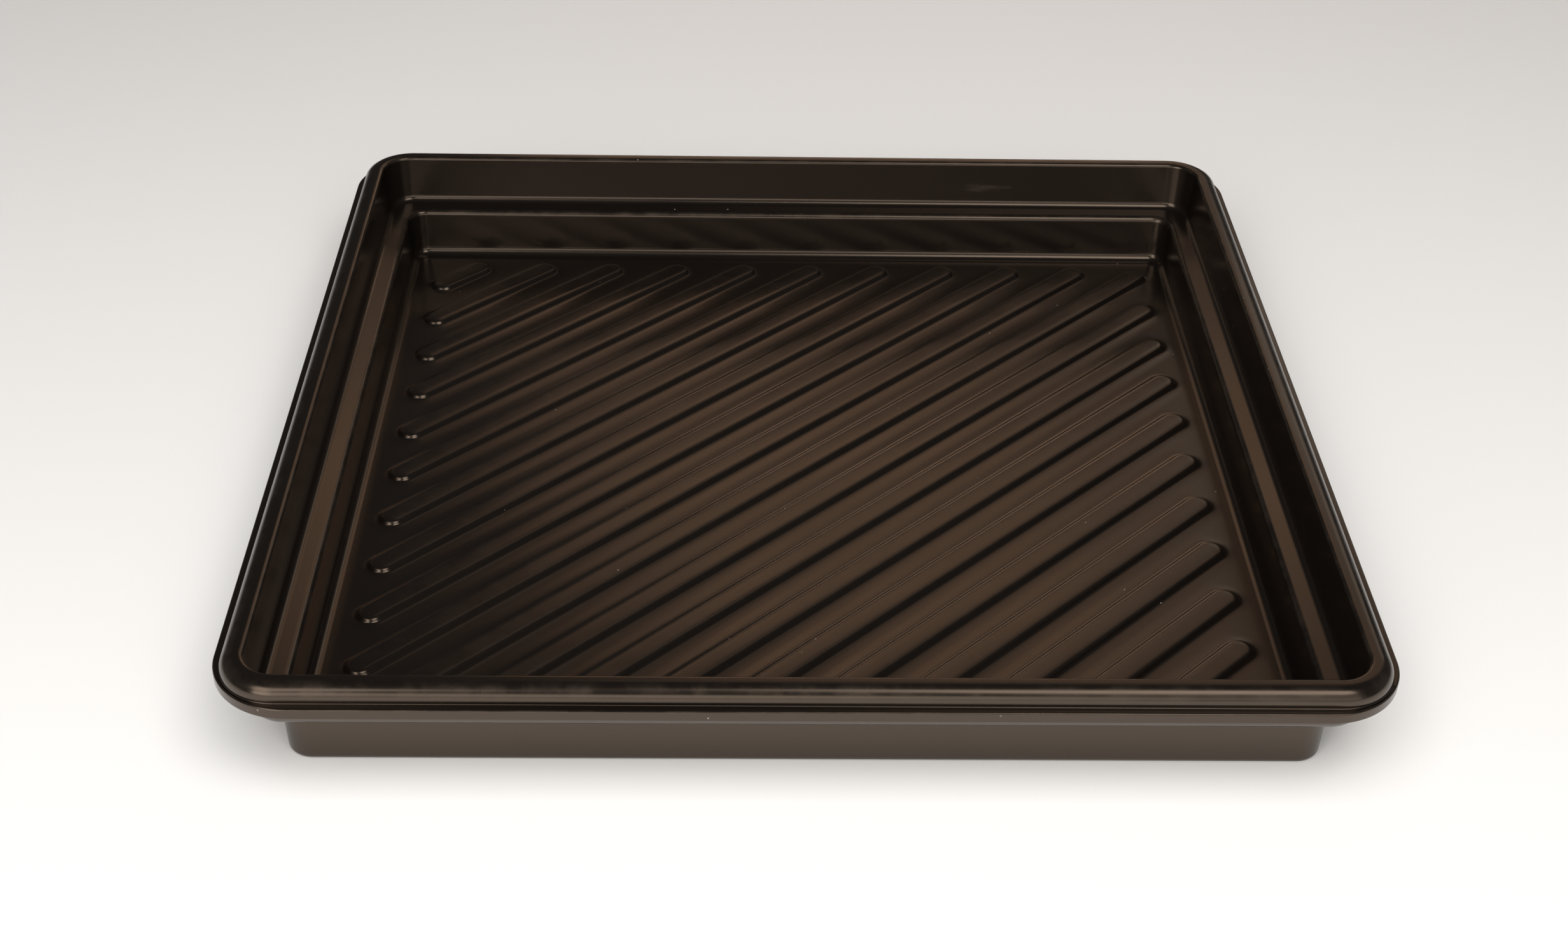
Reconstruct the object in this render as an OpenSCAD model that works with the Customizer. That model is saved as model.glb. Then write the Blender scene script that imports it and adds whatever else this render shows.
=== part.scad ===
// Wide ribbed paint tray, moulded in one piece from plastic sheet.
// The sheet is one path of walls and roundings, carried round a square with
// round corners. Frame: +Z up, origin under the middle of the base.

/* [Outline] */
// Width over the rim bead, left to right
tray_w = 560; // [500:5:640]
// Depth over the rim bead, front to back
tray_d = 560; // [500:5:640]
// Height from the surface that the tray stands on to the rim top
tray_h = 66; // [62:0.5:80]
// Thickness of the sheet
sheet = 3.5; // [3:0.25:4]

/* [Rim] */
// Width of the bead, from its outside to the inner wall
bead_w = 12; // [11.5:0.5:14]
// Radius of the bead's outer shoulder
shoulder_r = 7.5; // [6:0.5:8]
// Radius of the bead's inner edge
bead_inner_r = 2.5; // [1.5:0.5:3.5]
// Corner radius of the bead, seen from above
corner_r = 29.5; // [28:0.5:33]
// How far the lip stands out past the bead along a side
lip_out = 4.4; // [4:0.1:4.9]
// How far the lip stands out past the bead on a corner's diagonal
lip_corner_out = 1.75; // [1.5:0.25:2.5]
// Drop from the rim top to the lip
lip_drop = 9; // [8:0.5:12]
// Height of the skirt that hangs from the lip
skirt_h = 5.8; // [5:0.2:9]
// Radius of the lip's outer edge
lip_edge_r = 1; // [0.5:0.25:1.5]
// Radius of the skirt's lower edge
skirt_foot_r = 0.6; // [0.2:0.2:1]

/* [Walls] */
// Height of the ledge's middle above the surface that the tray stands on
ledge_z = 35; // [31:0.5:38]
// Width of the ledge between its two roundings
ledge_w = 3.5; // [3:0.5:7]
// How far the ledge falls from its outer corner to its inner one
ledge_fall = 2.6; // [0:0.2:3]
// How far the upper wall slopes in on its way down
upper_draft = 3; // [1:0.25:4]
// How far the lower wall slopes in on its way down
lower_draft = 1.5; // [0.5:0.25:2.5]
// Radius where the upper wall meets the ledge
ledge_outer_r = 5; // [3:0.5:6]
// Radius of the ledge's inner edge
ledge_inner_r = 4; // [3.5:0.5:5.5]
// Radius where the lower wall meets the floor
floor_r = 5.5; // [4:0.5:8]
// Radius of the outside bottom edge
base_r = 3.5; // [2:0.5:8]
// Corner radius of the lower wall, seen from above
basin_corner_r = 11; // [10:1:15]

/* [Ribs] */
// Distance between rib centre lines
rib_pitch = 31; // [28:0.1:40]
// Width of a rib at the floor
rib_w = 17; // [12:0.5:18]
// Height of a rib above the floor
rib_h = 3; // [2:0.25:4]
// How far the middle rib lies from the floor's diagonal, towards the front right
rib_shift = 2.8; // [0:0.1:6]
// Clear floor between a rib's end and the foot of the wall
rib_margin = 9.5; // [8:0.5:24]

/* [Hidden] */
round_steps = 5;         // straight steps in each rounding of the section
cove_r = 0.5;            // radius between the lip and the bead
seam = 0.15;             // depth that the bead's foot runs into the skirt
ledge_land = 1;          // level strip along the middle of the ledge
half_w = tray_w / 2;
half_d = tray_d / 2;

// Insets of the wall's corners from the outside of the bead
upper_foot = bead_w + upper_draft;
ledge_edge = upper_foot + ledge_outer_r + ledge_w + ledge_inner_r;
lower_foot = ledge_edge + lower_draft;
floor_edge = lower_foot + floor_r;
ledge_mid = upper_foot + ledge_outer_r + ledge_w / 2;

// Insets of the centres that the corners of the lip and the basin turn about
lip_centre = corner_r + (lip_out - lip_corner_out) / (sqrt(2) - 1);
basin_centre = ledge_edge + basin_corner_r;

// Skirt as corners [inset, height, radius], with a square inner side.
// It is thick enough to meet the bead's foot on the sides and on the diagonals.
lip_z = tray_h - lip_drop;
skirt_in = max(sheet, lip_out - lip_corner_out + 2 * seam) - lip_out;
skirt_bar = [
    [skirt_in, lip_z - skirt_h, 0],
    [-lip_out, lip_z - skirt_h, skirt_foot_r],
    [-lip_out, lip_z, lip_edge_r],
    [skirt_in, lip_z, 0]
];

// Upper face of the sheet as corners [inset, height, radius, radius below]
rim_face = [
    [seam - lip_corner_out, lip_z, 0],
    [0, lip_z, cove_r],
    [0, tray_h, shoulder_r],
    [bead_w, tray_h, bead_inner_r],
    [upper_foot, ledge_z + ledge_fall / 2, ledge_outer_r],
    [ledge_mid - ledge_land / 2, ledge_z, 0],
    [ledge_mid, ledge_z, 0]
];
basin_face = [
    [ledge_mid, ledge_z, 0],
    [ledge_mid + ledge_land / 2, ledge_z, 0],
    [ledge_edge, ledge_z - ledge_fall / 2, ledge_inner_r],
    [lower_foot, sheet, floor_r, base_r],
    [basin_centre, sheet, 0]
];

// Unit direction from corner i to corner i + 1 of a path
function heading(path, i) =
    let (step = [path[i + 1].x - path[i].x, path[i + 1].y - path[i].y])
    step / norm(step);

// Turn at corner i: positive when the path turns to the left
function turn(path, i) =
    let (a = heading(path, i - 1), b = heading(path, i))
    atan2(a.x * b.y - a.y * b.x, a * b);

// Path on the other side of the sheet, one sheet thickness to the right
function other_face(path) = [
    for (i = [0 : len(path) - 1])
        let (
            first = i == 0,
            last = i == len(path) - 1,
            into = heading(path, first ? 0 : i - 1),
            out = heading(path, last ? i - 1 : i),
            sum = [into.y + out.y, -into.x - out.x],
            side = sum / norm(sum),
            reach = sheet / (side * [out.y, -out.x]),
            bend = first || last ? 0 : turn(path, i),
            offset_r = path[i][2] + (bend > 0 ? sheet : -sheet),
            below_r = len(path[i]) > 3 ? path[i][3] : offset_r
        )
        [path[i].x + side.x * reach, path[i].y + side.y * reach, bend == 0 ? 0 : max(below_r, 0)]
];

// Points of a path with each corner rounded to its radius
function rounded(path) = [
    for (i = [0 : len(path) - 1])
        let (
            sharp = i == 0 || i == len(path) - 1 || path[i][2] == 0,
            bend = sharp ? 0 : turn(path, i),
            a = sharp ? [1, 0] : heading(path, i - 1),
            cut = path[i][2] * tan(abs(bend) / 2),
            start = [path[i].x, path[i].y] - a * cut,
            normal = [-a.y, a.x] * sign(bend),
            centre = start + normal * path[i][2]
        )
        each sharp ? [[path[i].x, path[i].y]] : [
            for (k = [0 : round_steps])
                let (swing = bend * k / round_steps)
                centre - [
                    normal.x * cos(swing) - normal.y * sin(swing),
                    normal.x * sin(swing) + normal.y * cos(swing)
                ] * path[i][2]
        ]
];

// Outline of the sheet between its two faces
function section(path) =
    let (under = rounded(other_face(path)))
    concat(rounded(path), [for (i = [len(under) - 1 : -1 : 0]) under[i]]);

// Carries section points round the outline, turning about centres at inset centre_in
module carried(points, centre_in) {
    outline = [for (p = points) [centre_in - p.x, p.y]];
    for (side = [0 : 3]) {
        across = side % 2 == 0 ? half_w : half_d;
        along = side % 2 == 0 ? half_d : half_w;
        rotate([0, 0, 90 * side]) {
            translate([across - centre_in, 0, 0])
                rotate([90, 0, 0])
                    linear_extrude(height = 2 * (along - centre_in), center = true)
                        polygon(outline);
            translate([across - centre_in, along - centre_in, 0])
                rotate_extrude(angle = 90, $fn = 96)
                    polygon(outline);
        }
    }
}

// Flat plate with round corners, at an inset from the bead
module plate(inset, radius, thickness) {
    reach_x = half_w - inset;
    reach_y = half_d - inset;
    linear_extrude(height = thickness)
        union() {
            square([2 * reach_x, 2 * (reach_y - radius)], center = true);
            square([2 * (reach_x - radius), 2 * reach_y], center = true);
            for (sx = [-1, 1])
                for (sy = [-1, 1])
                    translate([sx * (reach_x - radius), sy * (reach_y - radius)])
                        circle(r = radius, $fn = 96);
        }
}

// Level land that joins the rim's corners to the tighter ones of the basin
module ledge() {
    overlap = ledge_land / 4;
    outer_in = ledge_mid - overlap;
    inner_in = ledge_mid + overlap;
    translate([0, 0, ledge_z - sheet])
        difference() {
            plate(outer_in, corner_r - outer_in, sheet);
            translate([0, 0, -1])
                plate(inner_in, basin_centre - inner_in, sheet + 2);
        }
}

// Floor between the centres of the basin's corners
module floor_middle() {
    size_x = 2 * (half_w - basin_centre);
    size_y = 2 * (half_d - basin_centre);
    translate([-size_x / 2, -size_y / 2, 0])
        cube([size_x, size_y, sheet]);
}

// Half section of a rib: a broad soft crest on steep flanks, from its middle out
function rib_half(width, height, sink) = [
    [0, -sink],
    [width * 0.5, -sink],
    [width * 0.5, 0],
    [width * 0.46, height * 0.17],
    [width * 0.385, height * 0.75],
    [width * 0.3, height * 0.9],
    [width * 0.15, height * 0.98],
    [0, height]
];

// One rib along X with round ends, its foot at height 0
module rib(length, width, height, sink) {
    half = rib_half(width, height, sink);
    full = concat(half, [for (i = [len(half) - 2 : -1 : 1]) [-half[i].x, half[i].y]]);
    rotate([90, 0, 90])
        linear_extrude(height = length, center = true)
            polygon(full);
    for (end = [0, 180])
        rotate([0, 0, end])
            translate([length / 2, 0, 0])
                rotate([0, 0, -90])
                    rotate_extrude(angle = 180, $fn = 48)
                        polygon(half);
}

// Every rib: parallel to the diagonal, cut off square to the walls
module ribs(width, height, sink) {
    reach_x = half_w - floor_edge - rib_margin - rib_w / 2;
    reach_y = half_d - floor_edge - rib_margin - rib_w / 2;
    step = rib_pitch * sqrt(2);
    drop = rib_shift * sqrt(2);
    count = floor((reach_x + reach_y - rib_w / 2 - drop) / step);
    for (k = [-count : count]) {
        rise = k * step - drop;
        left = max(-reach_x, -reach_y - rise);
        right = min(reach_x, reach_y - rise);
        middle = (left + right) / 2;
        translate([middle, middle + rise, 0])
            rotate([0, 0, 45])
                rib((right - left) * sqrt(2), width, height, sink);
    }
}

module tray() {
    color([0.16, 0.125, 0.1])
        difference() {
            union() {
                carried(rounded(skirt_bar), lip_centre);
                carried(section(rim_face), corner_r);
                ledge();
                carried(section(basin_face), basin_centre);
                floor_middle();
                translate([0, 0, sheet])
                    ribs(rib_w, rib_h, sheet / 2);
            }
            ribs(rib_w - sheet, rib_h, 1);
        }
}

tray();
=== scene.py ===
import math

import bpy
from mathutils import Matrix, Vector
from mathutils.geometry import delaunay_2d_cdt


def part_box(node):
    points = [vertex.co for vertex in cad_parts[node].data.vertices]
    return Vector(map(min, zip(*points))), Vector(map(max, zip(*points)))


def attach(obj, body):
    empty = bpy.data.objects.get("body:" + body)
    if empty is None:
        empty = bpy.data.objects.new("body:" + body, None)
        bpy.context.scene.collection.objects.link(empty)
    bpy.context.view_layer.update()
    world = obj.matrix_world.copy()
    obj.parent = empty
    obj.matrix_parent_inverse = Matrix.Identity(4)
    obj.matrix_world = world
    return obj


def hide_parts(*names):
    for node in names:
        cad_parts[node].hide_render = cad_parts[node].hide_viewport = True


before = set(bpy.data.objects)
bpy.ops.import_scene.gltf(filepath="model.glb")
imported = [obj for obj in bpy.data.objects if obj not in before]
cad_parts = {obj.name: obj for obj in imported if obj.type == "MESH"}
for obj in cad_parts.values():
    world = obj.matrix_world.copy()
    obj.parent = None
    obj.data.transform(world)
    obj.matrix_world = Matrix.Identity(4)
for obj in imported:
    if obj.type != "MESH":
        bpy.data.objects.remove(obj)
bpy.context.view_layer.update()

MM = 0.001

# ---------------------------------------------------------------- sizes, in mm
LIP_OUT = 4.4
LIP_CORNER_OUT = 1.75
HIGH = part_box("tray")[1]
HALF_W = HIGH.x / MM - LIP_OUT
HALF_D = HIGH.y / MM - LIP_OUT
HEIGHT = HIGH.z / MM
SHEET = 3.5

# Section of the wall, from the skirt to the floor
SKIRT_IN = SHEET - LIP_OUT
BEAD_W = 12.0
LIP_DROP = 9.0
LIP_Z = HEIGHT - LIP_DROP
SKIRT_H = 5.8
SKIRT_Z = LIP_Z - SKIRT_H
LEDGE_Z = 35.0
LEDGE_SPAN = 12.5   # from the foot of the upper wall to the top of the lower one
LEDGE_FALL = 2.6
UPPER_DRAFT = 3.0
LOWER_DRAFT = 1.5
UPPER_FOOT = BEAD_W + UPPER_DRAFT
LEDGE_EDGE = UPPER_FOOT + LEDGE_SPAN
LOWER_FOOT = LEDGE_EDGE + LOWER_DRAFT
FLOOR_R = 5.5
FLOOR_EDGE = LOWER_FOOT + FLOOR_R
EDGE_R = 0.3        # least radius of an edge

# Insets of the centres that the corners of each part turn about
RIM_CENTRE = 29.5
LIP_CENTRE = RIM_CENTRE + (LIP_OUT - LIP_CORNER_OUT) / (math.sqrt(2) - 1)
BASIN_CORNER_R = 11.0
BASIN_CENTRE = LEDGE_EDGE + BASIN_CORNER_R

RIB_PITCH = 31.0
RIB_W = 17.0
RIB_H = 3.0
RIB_SHIFT = 2.8     # from the diagonal to the middle rib, towards the front right
RIB_MARGIN = 9.5
CREST_WEAR = 0.3    # how much the crests are rubbed, against the rim's edges
WEAR_POWER = 4      # how quickly that fades down a rib's flank

ARC_STEPS = 9       # steps in each rounding of the section
CORNER_STEPS = 28   # steps in each corner of the outline
CAP_STEPS = 20      # steps in each round end of a rib
SUPPORT = 0.35      # distance of the loops that hold the flats beside a rounding
LEAD = 1.0          # distance of the points that hold the straights beside a corner
SLACK = 0.01        # keeps the edge of a hole out of the hole


# ------------------------------------------------------------- sheet's section
def heading(a, b):
    """Unit direction from a to b."""
    dx, dz = b[0] - a[0], b[1] - a[1]
    size = math.hypot(dx, dz)
    return dx / size, dz / size


def turn(path, i):
    """Turn at corner i: positive when the path turns to the left."""
    a, b = heading(path[i - 1], path[i]), heading(path[i], path[i + 1])
    return math.atan2(a[0] * b[1] - a[1] * b[0], a[0] * b[0] + a[1] * b[1])


def other_face(path):
    """The path on the far side of the sheet, a thickness to its right."""
    out = []
    last = len(path) - 1
    for i, (x, z, radius, centre, *below) in enumerate(path):
        into = heading(path[max(i - 1, 0)], path[max(i, 1)])
        away = heading(path[min(i, last - 1)], path[min(i + 1, last)])
        sx, sz = into[1] + away[1], -into[0] - away[0]
        size = math.hypot(sx, sz)
        sx, sz = sx / size, sz / size
        reach = SHEET / (sx * away[1] - sz * away[0])
        grown = 0.0
        if below:
            grown = below[0]
        elif 0 < i < last:
            grown = max(radius + (SHEET if turn(path, i) > 0 else -SHEET), EDGE_R)
        out.append((x + sx * reach, z + sz * reach, grown, centre))
    return out


def rounded(path, worn_side):
    """Points (x, z, centre, wear) along a path, with its corners rounded.

    Corners that turn to worn_side (-1 right, 1 left) stand out and get rubbed.
    """
    out = []
    for i, (x, z, radius, centre, *_) in enumerate(path):
        if i in (0, len(path) - 1) or radius <= 0:
            out.append((x, z, centre, 0.0))
            continue
        bend = turn(path, i)
        a, b = heading(path[i - 1], path[i]), heading(path[i], path[i + 1])
        cut = radius * math.tan(abs(bend) / 2)
        sign = 1 if bend > 0 else -1
        nx, nz = -a[1] * sign, a[0] * sign
        cx, cz = x - a[0] * cut + nx * radius, z - a[1] * cut + nz * radius
        hold = min(SUPPORT, cut)
        out.append((x - a[0] * (cut + hold), z - a[1] * (cut + hold), centre, 0.0))
        for k in range(ARC_STEPS + 1):
            s = bend * k / ARC_STEPS
            rx = nx * math.cos(s) - nz * math.sin(s)
            rz = nx * math.sin(s) + nz * math.cos(s)
            wear = math.sin(math.pi * k / ARC_STEPS) if sign == worn_side else 0.0
            out.append((cx - rx * radius, cz - rz * radius, centre, wear))
        out.append((x + b[0] * (cut + hold), z + b[1] * (cut + hold), centre, 0.0))
    return out


# The sheet from the lip inwards: inset, height, radius, centre, radius below
SHEET_FACE = [
    (SKIRT_IN, LIP_Z, 0.0, LIP_CENTRE, EDGE_R),
    (0.0, LIP_Z, 0.5, RIM_CENTRE, 1.7),
    (0.0, HEIGHT, 7.5, RIM_CENTRE),
    (BEAD_W, HEIGHT, 2.5, RIM_CENTRE),
    (UPPER_FOOT, LEDGE_Z + LEDGE_FALL / 2, 5.0, RIM_CENTRE),
    (LEDGE_EDGE, LEDGE_Z - LEDGE_FALL / 2, 4.0, BASIN_CENTRE),
    (LOWER_FOOT, SHEET, FLOOR_R, BASIN_CENTRE, 3.5),
    (FLOOR_EDGE + 1.0, SHEET, 0.0, BASIN_CENTRE),
]
SKIRT_START = (SKIRT_IN, SKIRT_Z + 1.2, 0.0, LIP_CENTRE)
UPPER_FACE = [
    SKIRT_START,
    (SKIRT_IN, SKIRT_Z, EDGE_R, LIP_CENTRE),
    (-LIP_OUT, SKIRT_Z, 0.6, LIP_CENTRE),
    (-LIP_OUT, LIP_Z, 1.0, LIP_CENTRE),
    *SHEET_FACE[1:],
]
UNDER_FACE = [SKIRT_START, *other_face(SHEET_FACE)]


def loop_points(inset, z, centre):
    """One closed loop round the outline, anticlockwise from the front right."""
    radius = centre - inset
    out = []
    for sx, sy, start in ((1, -1, -90), (1, 1, 0), (-1, 1, 90), (-1, -1, 180)):
        cx, cy = sx * (HALF_W - centre), sy * (HALF_D - centre)
        a0 = math.radians(start)
        out.append((cx + radius * math.cos(a0) + LEAD * math.sin(a0),
                    cy + radius * math.sin(a0) - LEAD * math.cos(a0), z))
        for k in range(CORNER_STEPS + 1):
            a = a0 + math.pi / 2 * k / CORNER_STEPS
            out.append((cx + radius * math.cos(a), cy + radius * math.sin(a), z))
        a1 = a0 + math.pi / 2
        out.append((cx + radius * math.cos(a1) - LEAD * math.sin(a1),
                    cy + radius * math.sin(a1) + LEAD * math.cos(a1), z))
    return out


# ------------------------------------------------------------------------ ribs
# Half sections of a rib and of the groove under it, from the foot to the crest:
# distance from the middle, height
RIB_TOP = [(15.3, 0.0), (13.8, 0.03), (12.6, 0.07), (11.4, 0.12), (10.5, 0.18), (9.8, 0.25),
           (9.2, 0.34), (8.7, 0.46), (8.3, 0.62), (8.0, 0.84), (7.7, 1.15), (7.4, 1.51),
           (7.1, 1.87), (6.8, 2.17), (6.5, 2.4), (6.1, 2.59), (5.6, 2.74), (5.0, 2.85),
           (4.2, 2.93), (3.2, 2.97), (2.0, 2.99), (0.7, RIB_H)]
RIB_GROOVE = [(7.0, 0.0), (6.6, 0.14), (6.2, 0.48), (5.8, 1.0), (5.4, 1.55), (5.0, 2.02),
              (4.5, 2.4), (3.8, 2.7), (2.8, 2.88), (1.6, 2.96), (0.5, RIB_H)]


def rib_lines():
    """Middle and half length of each rib, all at 45 degrees."""
    reach = HALF_W - FLOOR_EDGE - RIB_MARGIN - RIB_W / 2
    step = RIB_PITCH * math.sqrt(2)
    drop = RIB_SHIFT * math.sqrt(2)
    count = int((2 * reach - RIB_W / 2 - drop) // step)
    out = []
    for k in range(-count, count + 1):
        rise = k * step - drop
        left = max(-reach, -reach - rise)
        right = min(reach, reach - rise)
        mid = (left + right) / 2
        out.append((mid, mid + rise, (right - left) / math.sqrt(2)))
    return out


def stadium(mx, my, half_length, radius):
    """Closed loop round a rib, anticlockwise seen from above."""
    ux = uy = math.sqrt(0.5)
    out = []
    for end in (1, -1):
        ex, ey = mx + end * ux * half_length, my + end * uy * half_length
        base = math.radians(45) + (0 if end > 0 else math.pi)
        out.append((ex - end * ux + radius * math.cos(base - math.pi / 2),
                    ey - end * uy + radius * math.sin(base - math.pi / 2)))
        for k in range(CAP_STEPS + 1):
            a = base - math.pi / 2 + math.pi * k / CAP_STEPS
            out.append((ex + radius * math.cos(a), ey + radius * math.sin(a)))
        out.append((ex - end * ux + radius * math.cos(base + math.pi / 2),
                    ey - end * uy + radius * math.sin(base + math.pi / 2)))
    return out


# ------------------------------------------------------------------- the shell
class Builder:
    """Vertices and faces of the shell, gathered ring by ring."""

    def __init__(self):
        self.verts = []
        self.edge = []      # how far each vertex stands out to be rubbed, 0 to 1
        self.faces = []

    def add(self, points, edge=0.0):
        """Adds points and gives their indices."""
        first = len(self.verts)
        self.verts.extend(points)
        self.edge.extend([edge] * len(points))
        return list(range(first, len(self.verts)))

    def bridge(self, a, b):
        """Quads between two loops; seen from outside, a is on the left."""
        n = len(a)
        for i in range(n):
            j = (i + 1) % n
            self.faces.append((a[i], a[j], b[j], b[i]))

    def fill(self, outer, holes, lines, hole_radius, up):
        """Flat triangles between one loop and the stadium-shaped holes in it."""
        ids = list(outer) + [i for hole in holes for i in hole]
        flat = [Vector(self.verts[i][:2]) for i in ids]
        edges = []
        start = 0
        for ring in [outer] + list(holes):
            n = len(ring)
            edges += [(start + i, start + (i + 1) % n) for i in range(n)]
            start += n
        result = delaunay_2d_cdt(flat, edges, [], 1, 1e-5)
        points, triangles, source = result[0], result[2], result[3]
        if len(points) != len(flat):
            raise RuntimeError("the floor's outlines cross")
        back = [ids[s[0]] for s in source]
        for t in triangles:
            cx = sum(points[i].x for i in t) / len(t)
            cy = sum(points[i].y for i in t) / len(t)
            if any(self.inside(cx, cy, line, hole_radius) for line in lines):
                continue
            face = [back[i] for i in t]
            self.faces.append(tuple(face if up else face[::-1]))

    @staticmethod
    def inside(x, y, line, radius):
        """Whether a point lies within radius of a rib's middle line."""
        mx, my, half = line
        u = ((x - mx) + (y - my)) * math.sqrt(0.5)
        v = ((y - my) - (x - mx)) * math.sqrt(0.5)
        u = max(abs(u) - half, 0.0)
        return math.hypot(u, v) < radius - SLACK


def build_shell():
    """Both faces of the sheet, from the skirt to the floor, with ribs and grooves."""
    b = Builder()
    loops = [b.add(loop_points(x, z, centre), wear)
             for x, z, centre, wear in rounded(UPPER_FACE, -1)]
    for a, c in zip(loops, loops[1:]):
        b.bridge(a, c)
    loops_under = [loops[0]]
    loops_under += [b.add(loop_points(x, z, centre), wear)
                    for x, z, centre, wear in rounded(UNDER_FACE, 1)[1:]]
    for a, c in zip(loops_under, loops_under[1:]):
        b.bridge(c, a)

    lines = rib_lines()
    for up, base, profile, outer in ((True, SHEET, RIB_TOP, loops[-1]),
                                     (False, 0.0, RIB_GROOVE, loops_under[-1])):
        feet = []
        for line in lines:
            rings = [b.add([(x, y, base + h) for x, y in stadium(*line, r)],
                           CREST_WEAR * (h / RIB_H) ** WEAR_POWER if up else 0.0)
                     for r, h in profile]
            for a, c in zip(rings, rings[1:]):
                if up:
                    b.bridge(a, c)
                else:
                    b.bridge(c, a)
            b.faces.append(tuple(rings[-1] if up else rings[-1][::-1]))
            feet.append(rings[0])
        b.fill(outer, feet, lines, profile[0][0], up)
    return b


def make_tray():
    """The shell as one smooth mesh object, with its wear as an attribute."""
    shell = build_shell()
    mesh = bpy.data.meshes.new("tray_shell")
    mesh.from_pydata([(x * MM, y * MM, z * MM) for x, y, z in shell.verts], [], shell.faces)
    mesh.attributes.new("edge", "FLOAT", "POINT").data.foreach_set("value", shell.edge)
    mesh.validate()
    mesh.update()
    for poly in mesh.polygons:
        poly.use_smooth = True
    tray = bpy.data.objects.new("tray_shell", mesh)
    bpy.context.scene.collection.objects.link(tray)
    return tray


# -------------------------------------------------------------------- material
SKIN_DARK = (0.0040, 0.0031, 0.0026, 1)
SKIN_LIGHT = (0.0054, 0.0042, 0.0034, 1)
RUBBED = (0.015, 0.0115, 0.009, 1)
SCRATCHED = (0.020, 0.0155, 0.0125, 1)
DUST = (0.16, 0.14, 0.12, 1)
SHEEN = (1.0, 0.78, 0.62, 1)


class Nodes:
    """Short names for building a node tree."""

    def __init__(self, tree):
        self.tree = tree

    def add(self, kind, inputs=None, **props):
        node = self.tree.nodes.new("ShaderNode" + kind)
        for key, value in props.items():
            setattr(node, key, value)
        for key, value in (inputs or {}).items():
            if isinstance(value, bpy.types.NodeSocket):
                self.tree.links.new(value, node.inputs[key])
            else:
                node.inputs[key].default_value = value
        return node

    def ramp(self, fac, start, end):
        """Grey ramp between two (position, value) stops."""
        node = self.add("ValToRGB", {"Fac": fac})
        for element, (position, value) in zip(node.color_ramp.elements, (start, end)):
            element.position = position
            element.color = (value, value, value, 1)
        return node.outputs["Color"]

    def noise(self, coords, scale, detail=2.0, rough=0.5):
        """Noise of scale grains per metre."""
        return self.add("TexNoise", {"Vector": coords, "Scale": scale, "Detail": detail,
                                     "Roughness": rough}).outputs["Fac"]

    def stretched(self, coords, angle, scale):
        """Coordinates for streaks that run at an angle to the X axis."""
        return self.add("Mapping", {"Vector": coords, "Rotation": (0, 0, math.radians(angle)),
                                    "Scale": scale}).outputs["Vector"]

    def calc(self, operation, a, b):
        return self.add("Math", {0: a, 1: b}, operation=operation).outputs[0]

    def blend(self, fac, a, b):
        node = self.add("Mix", {"Factor": fac, 6: a, 7: b}, data_type="RGBA")
        return node.outputs[2]

    def bump(self, height, distance, strength, normal=None):
        inputs = {"Height": height, "Distance": distance, "Strength": strength}
        if normal:
            inputs["Normal"] = normal
        return self.add("Bump", inputs).outputs["Normal"]


def plastic():
    """Nearly black warm plastic: satin skin, rubbed edges, fine scratches, dust."""
    mat = bpy.data.materials.new("tray_plastic")
    mat.use_nodes = True
    n = Nodes(mat.node_tree)
    bsdf = mat.node_tree.nodes["Principled BSDF"]
    at = n.add("TexCoord").outputs["Object"]
    edge = n.add("Attribute", attribute_name="edge").outputs["Fac"]

    # Patterns: slow clouds, fine grain, a faint swell and the rubbed edges
    cloud = n.noise(at, 7.0, 4.0, 0.55)
    grain = n.noise(at, 1500.0)
    swell = n.noise(at, 22.0, 1.0)
    rubbed = n.ramp(n.noise(at, 60.0, 5.0, 0.65), (0.42, 0.0), (0.62, 1.0))
    wear = n.calc("MULTIPLY", edge, rubbed)

    # Scratches in two directions, only in some places
    streaks = n.calc("MAXIMUM",
                     n.noise(n.stretched(at, 32, (14.0, 900.0, 14.0)), 1.0, 3.0),
                     n.noise(n.stretched(at, -57, (900.0, 11.0, 14.0)), 1.0, 3.0))
    patch = n.ramp(n.noise(at, 11.0), (0.52, 0.0), (0.68, 1.0))
    scratch = n.calc("MULTIPLY", n.ramp(streaks, (0.7, 0.0), (0.8, 1.0)), patch)

    # Specks of dust in a few of the cells
    cells = n.add("TexVoronoi", {"Vector": at, "Scale": 85.0})
    near = n.ramp(cells.outputs["Distance"], (0.03, 1.0), (0.05, 0.0))
    chosen = n.ramp(cells.outputs["Color"], (0.7, 0.0), (0.72, 1.0))
    dust = n.calc("MULTIPLY", near, chosen)

    # Colour and roughness
    skin = n.blend(cloud, SKIN_DARK, SKIN_LIGHT)
    skin = n.blend(wear, skin, RUBBED)
    skin = n.blend(scratch, skin, SCRATCHED)
    skin = n.blend(dust, skin, DUST)
    gloss = n.ramp(cloud, (0.3, 0.19), (0.7, 0.25))
    gloss = n.calc("ADD", gloss, n.calc("MULTIPLY", wear, 0.05))
    gloss = n.calc("ADD", gloss, n.calc("MULTIPLY", scratch, 0.12))

    # Relief, with its depths in metres
    normal = n.bump(swell, 0.0006, 0.10)
    normal = n.bump(grain, 0.00002, 0.16, normal)
    normal = n.bump(scratch, 0.00002, 0.5, normal)

    n.tree.links.new(skin, bsdf.inputs["Base Color"])
    n.tree.links.new(gloss, bsdf.inputs["Roughness"])
    n.tree.links.new(normal, bsdf.inputs["Normal"])
    bsdf.inputs["Specular IOR Level"].default_value = 1.0
    bsdf.inputs["Specular Tint"].default_value = SHEEN
    bsdf.inputs["IOR"].default_value = 1.5
    return mat


tray = make_tray()
tray.data.materials.append(plastic())
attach(tray, "root")
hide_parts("tray")


# ----------------------------------------------------------------------- stage
FLOOR_REACH = 6.0       # metres from the middle to each side
FLOOR_COLOUR = (0.86, 0.85, 0.84, 1)


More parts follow.
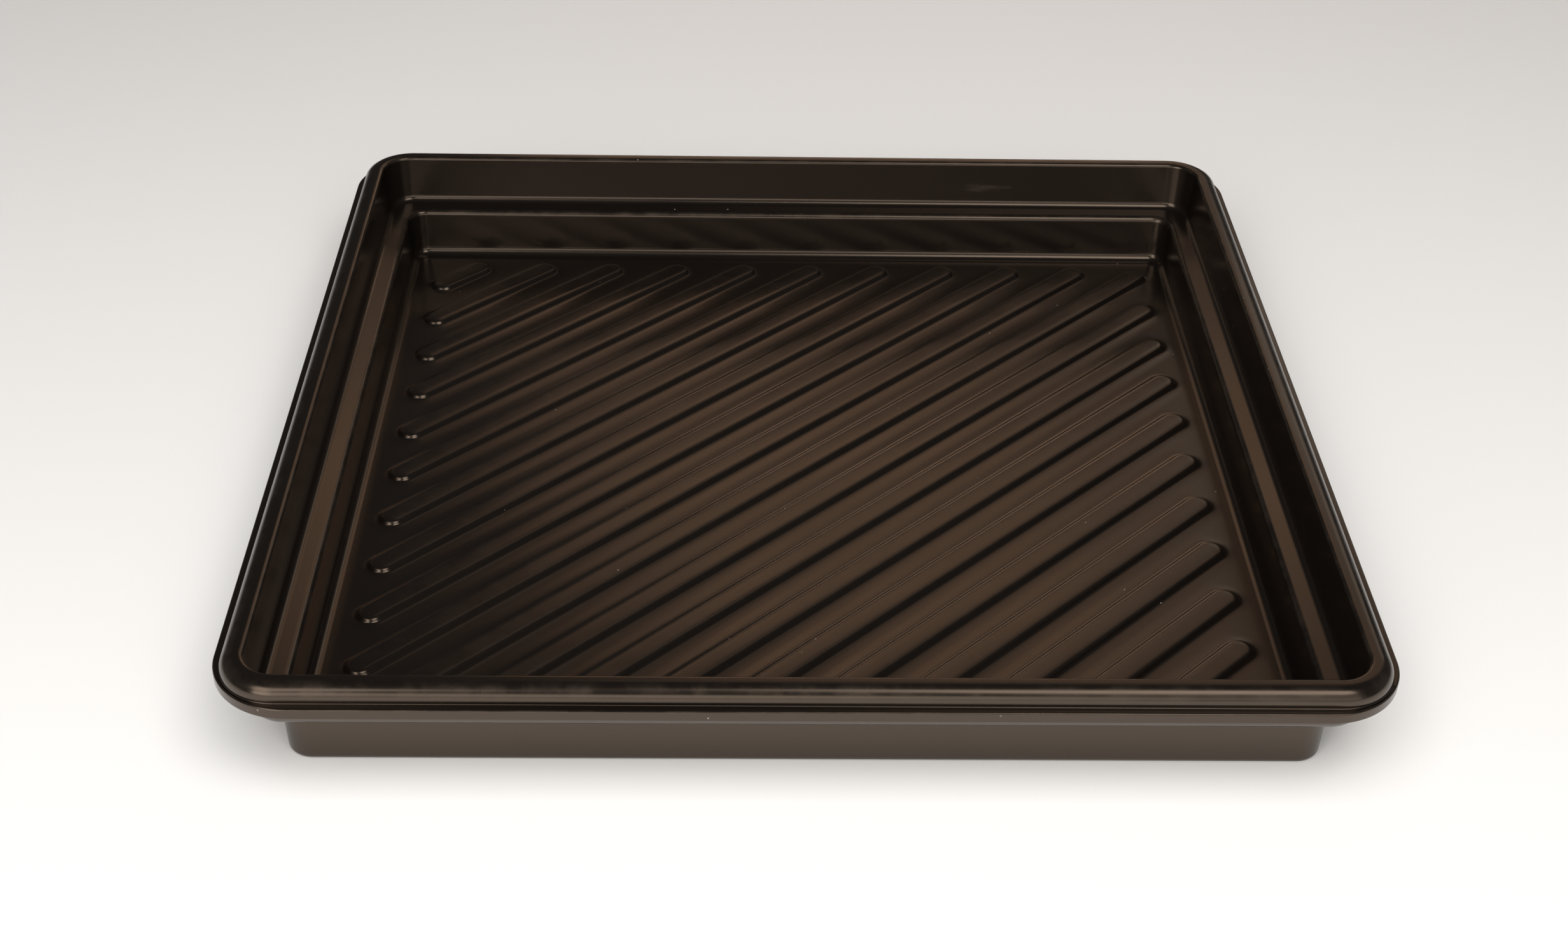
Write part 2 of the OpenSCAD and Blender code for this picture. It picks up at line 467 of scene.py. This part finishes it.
def studio_floor():
    """Plain pale floor."""
    mesh = bpy.data.meshes.new("studio_floor")
    r = FLOOR_REACH
    mesh.from_pydata([(-r, -r, 0), (r, -r, 0), (r, r, 0), (-r, r, 0)], [], [(0, 1, 2, 3)])
    mat = bpy.data.materials.new("studio_floor")
    mat.use_nodes = True
    bsdf = mat.node_tree.nodes["Principled BSDF"]
    bsdf.inputs["Base Color"].default_value = FLOOR_COLOUR
    bsdf.inputs["Roughness"].default_value = 0.6
    mesh.materials.append(mat)
    ob = bpy.data.objects.new("studio_floor", mesh)
    bpy.context.scene.collection.objects.link(ob)
    return ob


def studio_world():
    """Faint even light from all round."""
    world = bpy.data.worlds.new("studio")
    bpy.context.scene.world = world
    world.use_nodes = True
    background = world.node_tree.nodes["Background"]
    background.inputs["Color"].default_value = (1, 1, 1, 1)
    background.inputs["Strength"].default_value = 0.04


floor = studio_floor()
studio_world()

# ----------------------------------------------------------------------- lamps
AMBER = (1.0, 0.68, 0.46)
WARM = (1.0, 0.85, 0.70)
NEUTRAL = (1.0, 0.96, 0.90)
WHITE = (1.0, 1.0, 1.0)
LAMP_DISTANCE = 2.6     # metres from the tray's middle


def softbox(name, azimuth, elevation, size, radiance, colour):
    """Panel that faces the tray: azimuth 0 is behind it, 90 to its right.

    The size is in metres, the radiance in watts per square metre and steradian.
    """
    az, el = math.radians(azimuth), math.radians(elevation)
    at = LAMP_DISTANCE * Vector((math.sin(az) * math.cos(el),
                                 math.cos(az) * math.cos(el), math.sin(el)))
    lamp = bpy.data.lights.new(name, "AREA")
    lamp.shape = "RECTANGLE"
    lamp.size, lamp.size_y = size
    lamp.energy = math.pi * size[0] * size[1] * radiance
    lamp.color = colour
    ob = bpy.data.objects.new(name, lamp)
    ob.location = at
    ob.rotation_euler = (-at).to_track_quat("-Z", "Y").to_euler()
    bpy.context.scene.collection.objects.link(ob)
    return ob


softbox("back_low", 4, 18, (1.2, 0.5), 1.1, AMBER)
softbox("back_right", 32, 29, (1.0, 0.45), 0.85, WARM)
softbox("back_middle", 4, 36, (1.1, 0.36), 0.66, AMBER)
softbox("back_upper", 20, 42, (1.7, 0.34), 0.42, AMBER)
softbox("back_high", 12, 54, (1.3, 0.6), 0.2, WARM)
softbox("front_left", -150, 16, (1.25, 0.95), 3.0, NEUTRAL)
softbox("front_left_high", -145, 40, (1.2, 1.0), 2.8, NEUTRAL)
softbox("front_middle", 180, 14, (1.25, 0.95), 1.5, NEUTRAL)
softbox("front_right", 150, 14, (1.25, 0.95), 0.9, NEUTRAL)
softbox("key", 150, 56, (1.25, 0.95), 3.0, NEUTRAL)
softbox("key_low", 150, 36, (1.25, 0.95), 0.7, NEUTRAL)

# Light for the floor: it isn't mirrored in the glossy plastic
floor_fill = softbox("floor_fill", 180, 54, (3.0, 3.0), 3.0, WHITE)
floor_fill.visible_glossy = False

bpy.context.scene.view_settings.view_transform = "Standard"

# ---------------------------------------------------------------------- camera
CAM_AT = Vector((-0.03659, -1.08970, 0.74165))                # metres
CAM_YAW, CAM_PITCH, CAM_ROLL = 0.02677, 0.59967, 0.02217      # radians
CAM_FOCAL, CAM_SENSOR = 51.9034, 36.0                         # millimetres


def place_camera():
    """Camera that looks ahead and down, turned by yaw, pitch and roll."""
    data = bpy.data.cameras.new("camera")
    data.sensor_fit = "HORIZONTAL"
    data.sensor_width = CAM_SENSOR
    data.lens = CAM_FOCAL
    data.clip_start = 0.05
    cam = bpy.data.objects.new("camera", data)
    bpy.context.scene.collection.objects.link(cam)
    ahead = Vector((math.sin(CAM_YAW) * math.cos(CAM_PITCH),
                    math.cos(CAM_YAW) * math.cos(CAM_PITCH), -math.sin(CAM_PITCH)))
    level = Vector((math.cos(CAM_YAW), -math.sin(CAM_YAW), 0))
    above = level.cross(ahead)
    right = math.cos(CAM_ROLL) * level + math.sin(CAM_ROLL) * above
    up = -math.sin(CAM_ROLL) * level + math.cos(CAM_ROLL) * above
    cam.matrix_world = Matrix((
        (right.x, up.x, -ahead.x, CAM_AT.x),
        (right.y, up.y, -ahead.y, CAM_AT.y),
        (right.z, up.z, -ahead.z, CAM_AT.z),
        (0, 0, 0, 1)))
    bpy.context.scene.camera = cam


place_camera()
bpy.context.view_layer.update()
